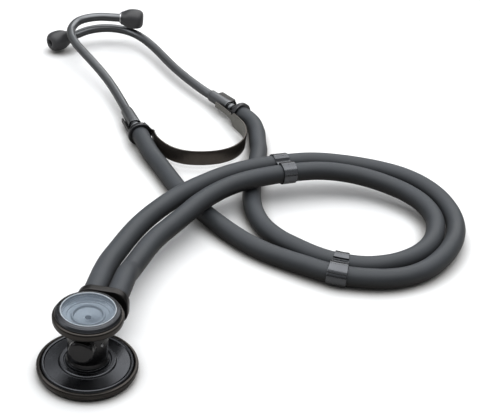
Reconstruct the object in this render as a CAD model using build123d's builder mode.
from build123d import *
import os
from math import pi, radians, sin, cos
from types import SimpleNamespace

os.makedirs("parts", exist_ok=True)

# Twin-tube stethoscope lying on its large diaphragm, millimetres.
# Origin: foot of the chestpiece axis on the rest plane. +Z up through the drum, +Y along the
# spindle towards the tubing. The two tubes loop once and run on in +Y to the ear tubes.

# ================================================================ driving dimensions
TUBE_OD = 10.8          # rubber tube
TUBE_BORE = 4.0
PAIR_PITCH = 11.3       # centre distance of the two tubes where they run together
EAR_TUBE_OD = 6.0       # bent metal ear tube
EAR_TUBE_BORE = 4.4
SPINDLE_Z = 20.0        # spindle axis height
SPINDLE_R = 4.0
SPINDLE_CLEAR = 0.05    # radial running clearance of the spindle
SOUND_R = 1.5           # sound channel through drum and spindle
YOKE_Y = 25.0           # face of the yoke plate towards the drum
YOKE_T = 4.0
FLEX_CLEAR = 0.05       # clearance of the round tube ends at the flex pivots
SPREAD_DEG = 18.0       # opening of each ear tube from rest
LIFT_DEG = 45.0         # lift of the chestpiece from rest
SWING_MARGIN = 0.4      # extra cut-back of a tube wall at a flex pivot

TUBE_R = TUBE_OD / 2
BORE_R = TUBE_BORE / 2
HALF_PITCH = PAIR_PITCH / 2
UP = Vector(0, 0, 1)
SPINDLE_AXIS = Axis((0, 0, SPINDLE_Z), (0, 1, 0))
SPINDLE_LEVEL = Plane(origin=(0, 0, SPINDLE_Z))     # level plane through the spindle axis

# ================================================================ tube centre-lines
# All points are x, y, z on the centre-line. Directions run from the ear towards the chest,
# except ear_dir and everything beyond the ferrule, which run towards the ear tip.
# sign: +1 for the left tube (outer one of the loop), -1 for the right tube (inner one).
LEFT = SimpleNamespace(
    name="left",
    sign=1,
    cup=Vector(-24.2, 217.0, 7.6),                          # centre of the ferrule rim
    ear_dir=Vector(-0.4650, 0.8853, 0).normalized(),        # from the tube into the ear tube
    pivot=Vector(0.26, 178.05, 5.5),                        # flex pivot on the floor run
    pivot_dir=Vector(0.5437, -0.8393, 0).normalized(),      # from the ear end into the main tube
    ear_end=[(-13.7, 198.4, 6.4)],                          # ferrule to flex pivot
    floor_run=[                                             # flex pivot to lower clip
        (11.71, 160.49, 5.67), (19.62, 150.23, 6), (28.56, 140.85, 5.93), (38.07, 132.04, 5.52),
        (47.8, 123.47, 5.46), (58.15, 115.67, 5.49), (69.58, 109.58, 5.45), (81.67, 104.92, 5.73)],
    loop=[                                                  # lower clip to upper clip
        (134.38, 101.48, 5.82), (145.44, 107.53, 5.46), (154.73, 116.07, 5.61),
        (161.92, 126.43, 6.25), (167.22, 137.87, 7.07), (170.34, 150.09, 7.7),
        (170.6, 162.69, 8.23), (167.32, 174.79, 9.52), (160.51, 185.2, 11.46),
        (150.75, 192.96, 13.34), (139.35, 198.27, 14.45), (127.14, 201.51, 14.72),
        (114.56, 202.68, 14.94), (101.98, 201.74, 15.51), (89.75, 198.71, 16.46)],
    raised_run=[                                            # upper clip to chest pivot
        (44.01, 173.06, 16.72), (34.78, 163.82, 16.61), (27.13, 153.21, 16.98),
        (20.17, 142.14, 17.51), (14.34, 130.47, 18.32), (9.55, 118.32, 19.15),
        (4.92, 106.08, 19.41), (0.95, 93.62, 19.18)],
    ear_tube=[                                              # bends of the metal ear tube
        (-42.6, 251.9, 7.9), (-47.9, 261.0, 8.6), (-54.1, 271.1, 9.6), (-61.1, 281.4, 10.8),
        (-69.0, 291.4, 12.3), (-77.6, 301.2, 14.0), (-86.0, 310.5, 15.6), (-93.7, 319.7, 17.0),
        (-99.8, 330.0, 18.3), (-102.4, 341.7, 19.2), (-99.8, 353.4, 20.2), (-91.2, 360.9, 21.0)],
    tip_start=Vector(-79.0, 363.6, 21.6),                   # last straight of the ear tube
    tip=Vector(-66.0, 365.6, 21.6),
)
RIGHT = SimpleNamespace(
    name="right",
    sign=-1,
    cup=Vector(33.2, 263.9, 7.6),
    ear_dir=Vector(-0.7350, 0.6780, 0).normalized(),
    pivot=Vector(50.95, 209.6, 5.5),
    pivot_dir=Vector(0.0329, -0.9995, 0).normalized(),
    ear_end=[(41.4, 255.6, 7.0), (45.4, 246.4, 6.3), (48.2, 232.6, 5.7)],
    floor_run=[
        (51.6, 187.84, 5.45), (52.4, 174.09, 5.52), (54.24, 160.44, 5.74), (57.86, 147.17, 5.76),
        (64.26, 135.02, 5.5), (73.64, 124.99, 5.68), (84.95, 117.18, 6.24)],
    loop=[
        (132.32, 113.53, 6.27), (142.38, 120.97, 5.94), (150.64, 130.4, 5.69),
        (156.61, 141.4, 5.91), (159.51, 153.55, 6.68), (158.54, 165.91, 8.07),
        (152.57, 176.71, 9.79), (142.82, 184.37, 11.26), (131.27, 189.05, 12.55),
        (119.01, 191.27, 13.9), (106.56, 190.99, 15.26), (94.37, 188.31, 16.45)],
    raised_run=[
        (50.36, 163.02, 17.2), (41.19, 153.04, 17.35), (33.43, 141.93, 17.16),
        (27.04, 129.99, 16.71), (21.97, 117.41, 16.27), (16.84, 104.86, 15.94),
        (12.03, 92.19, 15.84)],
    ear_tube=[
        (3.3, 291.3, 7.7), (-5.4, 300.2, 7.9), (-14.0, 309.7, 8.1), (-22.1, 319.5, 8.3),
        (-29.7, 329.7, 8.5), (-37.2, 340.1, 8.8), (-45.1, 350.3, 9.3), (-53.7, 359.1, 10.1),
        (-63.1, 365.4, 10.8), (-74.4, 368.1, 11.2), (-85.9, 366.1, 11.1), (-95.4, 359.4, 10.6)],
    tip_start=Vector(-102.0, 351.3, 9.6),
    tip=Vector(-110.2, 341.6, 8.7),
)

# Level arcs shared by both tubes under the clips: middle of the stretch, heading in radians,
# mean radius of the pair.
LOWER_BEND = (Vector(108.379, 103.46, 6.2), -0.08455, 56.07)
UPPER_BEND = (Vector(68.759, 183.035, 16.99), -2.62738, 149.65)
CLIP_RUN = 13.0         # half length of the arc stretch under a clip

# Chest pivots: midpoint of the pair, direction towards the yoke, and the lift axis square to it.
CHEST_C = Vector(2.23, 72.03, 17.72)
CHEST_DIR = Vector(-0.16216, -0.98654, 0.02105).normalized()
LIFT_AXIS = Vector(-0.94883, 0.16175, 0.27123)
LIFT_AXIS = (LIFT_AXIS - CHEST_DIR * LIFT_AXIS.dot(CHEST_DIR)).normalized()

PIVOT_RUN = 8.0         # straight stretch on each side of a flex pivot
TUBE_FRONT = YOKE_Y + YOKE_T + 0.1      # tube end face at the yoke plate
YOKE_RUN_Y = 46.0       # where the tubes become parallel to the spindle
CUP_DEPTH = 3.5         # how far the tube end sits inside the ferrule cup
CUP_RUN = 4.0           # straight stretch of tube behind the ferrule rim
EAR_TUBE_START = 12.3   # ear tube, from the ferrule rim to its end face
SOCKET_END = 30.0       # from the ferrule rim to the first bend of the ear tube


# ================================================================ helpers
def save(builder, name):
    builder.part.label = name
    export_step(builder.part, f"parts/{name}.step")


def turned(name, outline, plane=Plane.XZ, axis=Axis.Z):
    """Closed outline, columns radius and distance along the axis, turned about the axis."""
    with BuildPart() as piece:
        with BuildSketch(plane):
            with BuildLine():
                Polyline(*outline, close=True)
            make_face()
        revolve(axis=axis)
    save(piece, name)


def flat_ring(name, plane, outer_r, thickness, inner_r=0):
    """Flat ring, or a disc when inner_r is 0."""
    with BuildPart() as piece:
        with BuildSketch(plane):
            Circle(outer_r)
            if inner_r:
                Circle(inner_r, mode=Mode.SUBTRACT)
        extrude(amount=thickness)
    save(piece, name)


def across_spindle(y):
    """Plane square to the spindle, centred on it, facing -Y."""
    return Plane(origin=(0, y, SPINDLE_Z), x_dir=(1, 0, 0), z_dir=(0, -1, 0))


def path_plane(path, at):
    return Plane(origin=path @ at, z_dir=path % at)


def arc_run(start, start_dir, mids, end, end_dir):
    """Smooth chain of tangent arcs, two between each pair of points, added to the open line."""
    points = [start] + [Vector(*m) for m in mids] + [end]
    directions = [start_dir]
    for a, b, c in zip(points, points[1:], points[2:]):
        # direction at b of the circle through the three points
        blend = (b - a).normalized() * (c - b).length + (c - b).normalized() * (b - a).length
        directions.append(blend.normalized())
    directions.append(end_dir)
    for a, b, dir_a, dir_b in zip(points, points[1:], directions, directions[1:]):
        # equal tangent length of both arcs, from a quadratic
        chord, dir_sum = b - a, dir_a + dir_b
        quad = 2 * (1 - dir_a.dot(dir_b))
        linear = 2 * chord.dot(dir_sum)
        const = -chord.dot(chord)
        if abs(quad) < 1e-9:
            reach = -const / linear
        else:
            reach = (-linear + (linear * linear - 4 * quad * const) ** 0.5) / (2 * quad)
        joint = (a + b + (dir_a - dir_b) * reach) * 0.5
        first = TangentArc(a, joint, tangent=dir_a)
        TangentArc(joint, b, tangent=first % 1)


def bend_pivot(bend):
    """Centre of curvature of a level arc."""
    middle, heading, mean_r = bend
    return Vector(middle.X - sin(heading) * mean_r, middle.Y + cos(heading) * mean_r, middle.Z)


def on_bend(bend, run, sign):
    """Point and direction of travel, run along the mean arc from its middle.
    sign picks the tube; 0 is the mean arc."""
    _, heading, mean_r = bend
    angle = heading + run / mean_r
    outward = Vector(sin(angle), -cos(angle), 0)
    point = bend_pivot(bend) + outward * (mean_r + sign * HALF_PITCH)
    return point, Vector(cos(angle), sin(angle), 0)


# ================================================================ chestpiece drum
BOSS_Y = 9.9            # spindle bosses reach this far each way
BOSS_R = 6.0
DETENT_Y = -4.5         # detent ball, spring and screw, in line along +X
DETENT_BALL_X = 4.55
DETENT_BORE_R = 1.28    # also the section radius of the spindle groove

DRUM = [(0, 4.1), (6.0, 4.1), (6.0, 7.95), (9.7, 7.95), (9.75, 8.5), (9.25, 9.2), (9.1, 10.0),
        (9.6, 26.0), (6.0, 26.0), (6.0, 29.0), (0, 29.0)]


def across_detent(x):
    """Plane square to the detent bore, centred on it, facing +X."""
    return Plane(origin=(x, DETENT_Y, SPINDLE_Z), x_dir=(0, 1, 0), z_dir=(1, 0, 0))


def make_drum_body():
    with BuildPart() as drum:
        with BuildSketch(Plane.XZ):
            with BuildLine():
                Polyline(*DRUM, close=True)
            make_face()
        revolve(axis=Axis.Z)
        # round bosses faced flat for the spindle cap and the spindle collar
        with BuildSketch(across_spindle(BOSS_Y)):
            Circle(BOSS_R)
        extrude(amount=2 * BOSS_Y)
        # spindle bore
        with BuildSketch(across_spindle(12)):
            Circle(SPINDLE_R + SPINDLE_CLEAR)
        extrude(amount=24, mode=Mode.SUBTRACT)
        # sound channel from cup to cup
        with BuildSketch(Plane.XY):
            Circle(SOUND_R)
        extrude(amount=40, mode=Mode.SUBTRACT)
        with BuildSketch(across_detent(0)):
            Circle(DETENT_BORE_R)
        extrude(amount=12, mode=Mode.SUBTRACT)
    save(drum, "drum_body")


make_drum_body()

# ---------------------------------------------------------------- large diaphragm side
LARGE_RING_R = 23.25
LARGE_CUP = [
    (19.4, 2.05), (21.45, 2.05), (21.45, 4.7), (21.25, 5.0), (20.95, 5.55), (20.6, 5.7),
    (19.85, 5.66), (19.4, 5.2), (16.0, 5.55), (13.2, 5.95), (12.85, 6.75), (12.5, 6.95),
    (10.9, 6.95), (10.6, 6.6), (10.25, 6.6), (9.95, 7.9), (6.05, 7.9), (6.05, 4.05),
    (2.0, 4.05), (2.0, 3.5), (10.0, 3.2), (19.4, 2.35)]
# pressed film whose middle stands down through the ring, flush with the rest plane
LARGE_DIAPHRAGM = [
    (0, 0), (19.9, 0), (20.3, 0.4), (20.3, 1.05), (21.4, 1.05), (21.4, 1.35), (20.0, 1.35),
    (20.0, 0.5), (19.8, 0.3), (0, 0.3)]
LARGE_RING = [
    (20.5, 0), (21.3, 0), (21.9, 0.4), (22.7, 1.5), (23.1, 2.7), (22.85, 2.9), (22.85, 3.15),
    (LARGE_RING_R, 3.35), (LARGE_RING_R, 4.6), (22.8, 5.1), (21.9, 5.15), (21.52, 4.85),
    (21.52, 1.0), (20.5, 1.0)]
GRIP_COUNT = 72
GRIP_CIRCLE_R = 23.0    # circle the groove centres lie on
GRIP_R = 0.4
GRIP_Z = 0.7
GRIP_H = 1.8


def make_large_retaining_ring():
    with BuildPart() as ring:
        with BuildSketch(Plane.XZ):
            with BuildLine():
                Polyline(*LARGE_RING, close=True)
            make_face()
        revolve(axis=Axis.Z)
        # vertical grip grooves on the lower band
        with BuildSketch(Plane.XY.offset(GRIP_Z)):
            with PolarLocations(GRIP_CIRCLE_R, GRIP_COUNT):
                Circle(GRIP_R)
        extrude(amount=GRIP_H, mode=Mode.SUBTRACT)
    save(ring, "large_retaining_ring")


turned("large_cup", LARGE_CUP)
flat_ring("large_gasket", Plane.XY.offset(1.4), outer_r=21.3, inner_r=19.6, thickness=0.6)
turned("large_diaphragm", LARGE_DIAPHRAGM)
make_large_retaining_ring()

# ---------------------------------------------------------------- small diaphragm side
SMALL_CUP_R = 16.0
SMALL_CUP = [
    (6.05, 26.05), (9.8, 26.05), (10.1, 26.5), (14.6, 28.2), (15.7, 28.9), (SMALL_CUP_R, 29.8),
    (SMALL_CUP_R, 31.3), (15.7, 32.0), (14.9, 32.4), (14.0, 32.5), (13.9, 32.6), (13.9, 33.5),
    (12.6, 33.5), (12.6, 33.0), (11.4, 32.8), (11.4, 32.4), (9.8, 32.2), (9.8, 31.8),
    (7.6, 31.5), (7.4, 32.2), (6.6, 32.2), (6.3, 31.2), (1.5, 30.8), (1.5, 29.05), (6.05, 29.05)]
SMALL_RING = [
    (13.97, 32.8), (15.0, 32.8), (15.15, 33.0), (15.15, 33.8), (14.7, 34.3), (12.75, 35.4),
    (12.45, 35.35), (12.4, 34.65), (13.97, 34.65)]

turned("small_cup", SMALL_CUP)
flat_ring("small_gasket", Plane.XY.offset(33.55), outer_r=13.6, inner_r=12.6, thickness=0.5)
flat_ring("small_diaphragm", Plane.XY.offset(34.1), outer_r=13.8, thickness=0.5)
turned("small_retaining_ring", SMALL_RING)

# ---------------------------------------------------------------- detent
DETENT_BALL_R = 1.2
COIL_X = 6.0
COIL_LEN = 1.0
COIL_PITCH = 0.4
COIL_R = 0.85
COIL_WIRE_R = 0.11
SCREW_X = 7.2
SCREW_LEN = 1.0
SCREW_R = 1.25


def make_detent():
    with BuildPart() as ball:
        with Locations((DETENT_BALL_X, DETENT_Y, SPINDLE_Z)):
            Sphere(DETENT_BALL_R)
    save(ball, "detent_ball")

    with BuildPart() as spring:
        with BuildLine() as coil:
            Helix(pitch=COIL_PITCH, height=COIL_LEN, radius=COIL_R,
                  center=(COIL_X, DETENT_Y, SPINDLE_Z), direction=(1, 0, 0))
        with BuildSketch(path_plane(coil.line, 0)):
            Circle(COIL_WIRE_R)
        sweep(path=coil.wires()[0], is_frenet=True)
    save(spring, "detent_spring")

    with BuildPart() as screw:
        with BuildSketch(across_detent(SCREW_X)):
            Circle(SCREW_R)
        extrude(amount=SCREW_LEN)
        # driver slot
        with BuildSketch(across_detent(SCREW_X + SCREW_LEN)):
            Rectangle(2.4, 0.35)
        extrude(amount=-0.5, mode=Mode.SUBTRACT)
    save(screw, "detent_screw")


make_detent()

# ================================================================ spindle and yoke
# radius, y
SPINDLE = [
    (0, -12.4), (1.7, -12.4), (2.0, -12.1), (2.0, -10.2), (SPINDLE_R, -10.2), (SPINDLE_R, 5.4),
    (3.15, 5.4), (3.15, 6.6), (SPINDLE_R, 6.6), (SPINDLE_R, 10.0), (5.6, 10.0), (5.6, 23.0),
    (5.0, 23.6), (5.0, 24.9), (3.9, 24.9), (3.9, 27.1), (0, 27.1)]
PORT_R = 1.4
CAP_Y = -10.25          # open face of the spindle cap
CAP_R = 5.8
CAP_LEN = 3.1


def make_spindle():
    with BuildPart() as spindle:
        with BuildSketch(SPINDLE_LEVEL):
            with BuildLine():
                Polyline(*SPINDLE, close=True)
            make_face()
        revolve(axis=SPINDLE_AXIS)
        # detent groove all round
        with BuildSketch(SPINDLE_LEVEL):
            with Locations((DETENT_BALL_X, DETENT_Y)):
                Circle(DETENT_BORE_R)
        revolve(axis=SPINDLE_AXIS, mode=Mode.SUBTRACT)
        # sound channel and its port towards the large cup
        with BuildSketch(across_spindle(28)):
            Circle(SOUND_R)
        extrude(amount=28, mode=Mode.SUBTRACT)
        with BuildSketch(SPINDLE_LEVEL):
            Circle(PORT_R)
        extrude(amount=-6, mode=Mode.SUBTRACT)
    save(spindle, "spindle")


def make_spindle_o_ring():
    with BuildPart() as o_ring:
        with BuildSketch(SPINDLE_LEVEL):
            with Locations((3.6, 6.0)):
                Circle(0.41)
        revolve(axis=SPINDLE_AXIS)
    save(o_ring, "spindle_o_ring")


def make_spindle_cap():
    with BuildPart() as cap:
        with BuildSketch(across_spindle(CAP_Y)):
            Circle(CAP_R)
        extrude(amount=CAP_LEN)
        fillet(cap.faces().sort_by(Axis.Y)[0].edges(), 1.1)
        # blind bore over the thin end of the spindle
        with BuildSketch(across_spindle(CAP_Y)):
            Circle(2.05)
        extrude(amount=2.3, mode=Mode.SUBTRACT)
    save(cap, "spindle_cap")


YOKE_W, YOKE_H = 25.0, 18.7
YOKE_CORNER_R = 7.2
YOKE_DROP = 2.05        # plate centre below the spindle axis


def make_yoke_plate():
    with BuildPart() as yoke:
        with BuildSketch(across_spindle(YOKE_Y)):
            with Locations((0, -YOKE_DROP)):
                RectangleRounded(YOKE_W, YOKE_H, YOKE_CORNER_R)
        extrude(amount=-YOKE_T)
        fillet(yoke.edges().filter_by_position(Axis.Y, YOKE_Y - 0.01, YOKE_Y + 0.01), 0.6)
        # seat of the spindle tail
        with BuildSketch(across_spindle(YOKE_Y)):
            Circle(3.95)
        extrude(amount=-2.2, mode=Mode.SUBTRACT)
        # cross channel
        with BuildSketch(across_spindle(YOKE_Y + 2.1)):
            SlotOverall(14.6, 3.2)
        extrude(amount=-0.8, mode=Mode.SUBTRACT)
        # barb seats
        with BuildSketch(across_spindle(YOKE_Y + 2.7)):
            with Locations((-HALF_PITCH, 0), (HALF_PITCH, 0)):
                Circle(2.6)
        extrude(amount=-2, mode=Mode.SUBTRACT)
    save(yoke, "yoke_plate")


# radius, y
CHEST_BARB = [
    (1.3, 27.75), (2.55, 27.75), (2.55, 29.0), (1.9, 29.0), (1.9, 31.0), (2.25, 31.0),
    (1.9, 33.4), (2.25, 33.4), (1.9, 35.8), (2.25, 35.8), (1.8, 39.4), (1.3, 39.4)]


def make_chest_hose_barbs():
    with BuildPart() as barbs:
        for x in (-HALF_PITCH, HALF_PITCH):
            with BuildSketch(Plane(origin=(x, 0, SPINDLE_Z))):
                with BuildLine():
                    Polyline(*CHEST_BARB, close=True)
                make_face()
            revolve(axis=Axis((x, 0, SPINDLE_Z), (0, 1, 0)))
    save(barbs, "chest_hose_barbs")


make_spindle()
make_spindle_o_ring()
flat_ring("wave_washer", across_spindle(-9.94), outer_r=5.5, inner_r=4.15, thickness=0.22)
make_spindle_cap()
make_yoke_plate()
make_chest_hose_barbs()

# ================================================================ rubber tubes
# wall of the main tube held back at each pivot so that the round end can swing
EAR_CUT = TUBE_R * sin(radians(SPREAD_DEG)) + SWING_MARGIN
CHEST_CUT = TUBE_R * sin(radians(LIFT_DEG)) + SWING_MARGIN


def chest_pivot(side):
    return CHEST_C + LIFT_AXIS * side.sign * HALF_PITCH


def chest_end_path(side):
    x = -side.sign * HALF_PITCH
    pivot = chest_pivot(side)
    bend_start = pivot + CHEST_DIR * PIVOT_RUN
    bend_end = Vector(x, YOKE_RUN_Y, SPINDLE_Z)
    with BuildLine() as path:
        Line(pivot, bend_start)
        arc_run(bend_start, CHEST_DIR, [], bend_end, Vector(0, -1, 0))
        Line(bend_end, Vector(x, TUBE_FRONT, SPINDLE_Z))
    return path.wires()[0]


def main_path(side):
    lower_in, lower_in_dir = on_bend(LOWER_BEND, -CLIP_RUN, side.sign)
    lower_out, lower_out_dir = on_bend(LOWER_BEND, CLIP_RUN, side.sign)
    upper_in, upper_in_dir = on_bend(UPPER_BEND, -CLIP_RUN, side.sign)
    upper_out, upper_out_dir = on_bend(UPPER_BEND, CLIP_RUN, side.sign)
    start = side.pivot + side.pivot_dir * PIVOT_RUN
    end = chest_pivot(side) - CHEST_DIR * PIVOT_RUN
    with BuildLine() as path:
        Line(side.pivot + side.pivot_dir * EAR_CUT, start)
        arc_run(start, side.pivot_dir, side.floor_run, lower_in, lower_in_dir)
        TangentArc(lower_in, lower_out, tangent=lower_in_dir)
        arc_run(lower_out, lower_out_dir, side.loop, upper_in, upper_in_dir)
        TangentArc(upper_in, upper_out, tangent=upper_in_dir)
        arc_run(upper_out, upper_out_dir, side.raised_run, end, CHEST_DIR)
        Line(end, chest_pivot(side) - CHEST_DIR * CHEST_CUT)
    return path.wires()[0]


def ear_end_path(side):
    behind_rim = side.cup - side.ear_dir * CUP_RUN
    before_pivot = side.pivot - side.pivot_dir * PIVOT_RUN
    with BuildLine() as path:
        Line(side.cup + side.ear_dir * CUP_DEPTH, behind_rim)
        arc_run(behind_rim, -side.ear_dir, side.ear_end, before_pivot, side.pivot_dir)
        Line(before_pivot, side.pivot)
    return path.wires()[0]


def make_tube_end(name, path, pivot, direction, outward):
    """Tube with a ball end at the pivot. outward: +1 if direction leaves through the ball, or -1."""
    with BuildPart() as tube:
        with BuildSketch(path_plane(path, 0)):
            Circle(TUBE_R)
        sweep(path=path)
        with Locations(pivot):
            Sphere(TUBE_R, rotation=(90, 0, 0))
        # bore through the ball, then along the tube
        with BuildSketch(Plane(origin=pivot, z_dir=direction)):
            Circle(BORE_R)
        extrude(amount=outward * (TUBE_R + 1), mode=Mode.SUBTRACT)
        with BuildSketch(path_plane(path, 0)):
            Circle(BORE_R)
        sweep(path=path, mode=Mode.SUBTRACT)
    save(tube, name)


def make_main_tube(side):
    path = main_path(side)
    with BuildPart() as tube:
        with BuildSketch(path_plane(path, 0)):
            Circle(TUBE_R)
        sweep(path=path)
        # hollow ends that take the ball ends
        with Locations(side.pivot, chest_pivot(side)):
            Sphere(TUBE_R + FLEX_CLEAR, rotation=(90, 0, 0), mode=Mode.SUBTRACT)
        with BuildSketch(path_plane(path, 0)):
            Circle(BORE_R)
        sweep(path=path, mode=Mode.SUBTRACT)
    save(tube, f"{side.name}_tube")


for side in (LEFT, RIGHT):
    make_tube_end(f"{side.name}_tube_chest_end", chest_end_path(side), chest_pivot(side),
                  CHEST_DIR, outward=-1)
    make_main_tube(side)
    make_tube_end(f"{side.name}_tube_ear_end", ear_end_path(side), side.pivot,
                  side.pivot_dir, outward=1)

# ================================================================ tube clips
CLIP_LEN = 9.0
CLIP_GAP = 0.10         # radial clearance of a clip on the tubes
CLIP_T = 0.6            # sheet thickness
WAIST_H = 8.6           # outside height of the waist between the tubes


def make_clip(name, bend):
    """Sheet band round both tubes, waisted between them, turned about the centre of its arc."""
    start, direction = on_bend(bend, -CLIP_LEN / 2, 0)
    mean_r = bend[2]
    with BuildPart() as clip:
        with BuildSketch(Plane(origin=start, x_dir=direction.cross(UP), z_dir=direction)):
            with Locations((-HALF_PITCH, 0), (HALF_PITCH, 0)):
                Circle(TUBE_R + CLIP_GAP + CLIP_T)
            Rectangle(6.0, WAIST_H)
            with Locations((-HALF_PITCH, 0), (HALF_PITCH, 0)):
                Circle(TUBE_R + CLIP_GAP, mode=Mode.SUBTRACT)
            Rectangle(4.0, WAIST_H - 2 * CLIP_T, mode=Mode.SUBTRACT)
        revolve(axis=Axis(bend_pivot(bend), (0, 0, 1)), revolution_arc=CLIP_LEN / mean_r * 180 / pi)
    save(clip, name)


make_clip("lower_tube_clip", LOWER_BEND)
make_clip("upper_tube_clip", UPPER_BEND)

# ================================================================ binaural, left and right
# Outlines: radius, distance from the ferrule rim towards the ear tube.
FERRULE = [
    (5.5, -0.5), (7.2, -0.5), (7.45, -0.2), (7.45, 2.2), (6.9, 3.0), (5.4, 4.3), (4.0, 5.9),
    (3.2, 7.3), (2.95, 8.6), (2.0, 8.6), (2.0, 3.6), (5.5, 3.6)]
EAR_BARB = [
    (1.3, -6.2), (1.75, -6.2), (2.2, -4.6), (1.9, -4.6), (2.2, -2.6), (1.9, -2.6), (2.2, -0.6),
    (1.9, -0.6), (1.9, 8.7), (2.5, 8.7), (3.15, 9.5), (3.3, 10.5), (3.05, 11.5), (2.5, 12.2),
    (1.3, 12.2)]
# Outlines: radius, distance beyond the end of the ear tube.
TIP_INSERT = [
    (3.03, -7.5), (3.6, -7.5), (3.6, -6.6), (3.9, -6.3), (3.9, -5.7), (3.65, -5.4), (3.9, -5.1),
    (3.9, -4.5), (3.65, -4.2), (3.9, -3.9), (3.9, -3.3), (3.65, -3.0), (3.9, -2.7), (3.9, -0.1),
    (3.03, -0.1)]
EAR_TIP = [
    (3.95, -8.3), (4.7, -8.4), (5.0, -8.0), (5.2, -6.5), (6.1, -4.2), (7.0, -1.6), (7.45, 1.2),
    (7.5, 3.6), (7.2, 6.2), (6.4, 8.4), (5.1, 9.8), (3.6, 10.3), (2.8, 10.2), (2.2, 9.0),
    (1.9, 7.0), (1.9, 0.05), (3.95, 0.05)]
SOCKET_START = 12.6     # from the ferrule rim
SOCKET_LEN = 16.4
SOCKET_CLEAR = 0.03


def towards_other(side):
    """Level direction square to the ear tube, towards the other ear tube."""
    return Vector(side.ear_dir.Y, -side.ear_dir.X, 0) * side.sign


def tip_direction(side):
    return (side.tip - side.tip_start).normalized()


def make_ear_tube(side):
    bend_start = side.cup + side.ear_dir * SOCKET_END
    with BuildLine() as line:
        Line(side.cup + side.ear_dir * EAR_TUBE_START, bend_start)
        arc_run(bend_start, side.ear_dir, side.ear_tube, side.tip_start, tip_direction(side))
        Line(side.tip_start, side.tip)
    path = line.wires()[0]
    with BuildPart() as tube:
        with BuildSketch(path_plane(path, 0)):
            Circle(EAR_TUBE_OD / 2)
        sweep(path=path)
        with BuildSketch(path_plane(path, 0)):
            Circle(EAR_TUBE_BORE / 2)
        sweep(path=path, mode=Mode.SUBTRACT)
    save(tube, f"{side.name}_ear_tube")


def make_socket(side):
    """Sleeve round the ear tube, with an upright flange outside and a level strip beneath."""
    origin = side.cup + side.ear_dir * SOCKET_START
    with BuildPart() as socket:
        with BuildSketch(Plane(origin=origin, x_dir=towards_other(side), z_dir=side.ear_dir)):
            Ellipse(4.9, 4.3)
            with Locations((-5.6, side.sign * 1.2)):
                Rectangle(0.8, 5.8)
            with Locations((-3.4, side.sign * 3.75)):
                Rectangle(5.2, 0.7)
            Circle(EAR_TUBE_OD / 2 + SOCKET_CLEAR, mode=Mode.SUBTRACT)
        extrude(amount=SOCKET_LEN)
    save(socket, f"{side.name}_socket")


def make_ear_side(side):
    across = towards_other(side)
    cup_plane = Plane(origin=side.cup, x_dir=across, z_dir=across.cross(side.ear_dir))
    cup_axis = Axis(side.cup, side.ear_dir)
    turned(f"{side.name}_ferrule", FERRULE, cup_plane, cup_axis)
    turned(f"{side.name}_ear_barb", EAR_BARB, cup_plane, cup_axis)
    make_ear_tube(side)
    make_socket(side)

    tip_dir = tip_direction(side)
    level = UP.cross(tip_dir).normalized()
    tip_plane = Plane(origin=side.tip, x_dir=level, z_dir=level.cross(tip_dir))
    tip_axis = Axis(side.tip, tip_dir)
    turned(f"{side.name}_tip_insert", TIP_INSERT, tip_plane, tip_axis)
    turned(f"{side.name}_ear_tip", EAR_TIP, tip_plane, tip_axis)


for side in (LEFT, RIGHT):
    make_ear_side(side)

# ================================================================ leaf spring
SPRING_T = 0.8          # strip thickness
SPRING_Z0, SPRING_Z1 = 3.0, 12.6
# x, y along the middle of the strip, from the left socket to the right one
SPRING_PTS = [
    (-28.3, 237.4), (-25.4, 232.2), (-22.2, 227.3), (-17.6, 222.0), (-13.9, 214.2),
    (-8.8, 205.6), (-2.0, 199.2), (7.0, 196.2), (17.5, 197.6), (28.6, 202.9), (36.2, 211.2),
    (40.0, 221.8), (40.2, 233.0), (37.0, 243.2), (31.6, 251.0), (27.3, 257.4), (23.6, 263.4),
    (18.9, 268.9), (14.5, 273.1)]
NECKS = [(-28.2, 231.3), (16.2, 270.3)]     # x, y centres of the two narrow ends
NECK_CUT = (22, 19, 5.6)                    # box cut away below and above each neck
NECK_CUT_Z = (2.8, 12.4)


def make_leaf_spring():
    """Bent strip with a narrow neck at each end that runs beside the socket."""
    with BuildPart() as spring:
        with BuildSketch(Plane.XY.offset(SPRING_Z0)):
            with BuildLine():
                Spline(*SPRING_PTS, tangents=(-LEFT.ear_dir, RIGHT.ear_dir))
            trace(line_width=SPRING_T)
        extrude(amount=SPRING_Z1 - SPRING_Z0)
        for z in NECK_CUT_Z:
            with Locations(*[(x, y, z) for x, y in NECKS]):
                Box(*NECK_CUT, mode=Mode.SUBTRACT)
    save(spring, "leaf_spring")


make_leaf_spring()
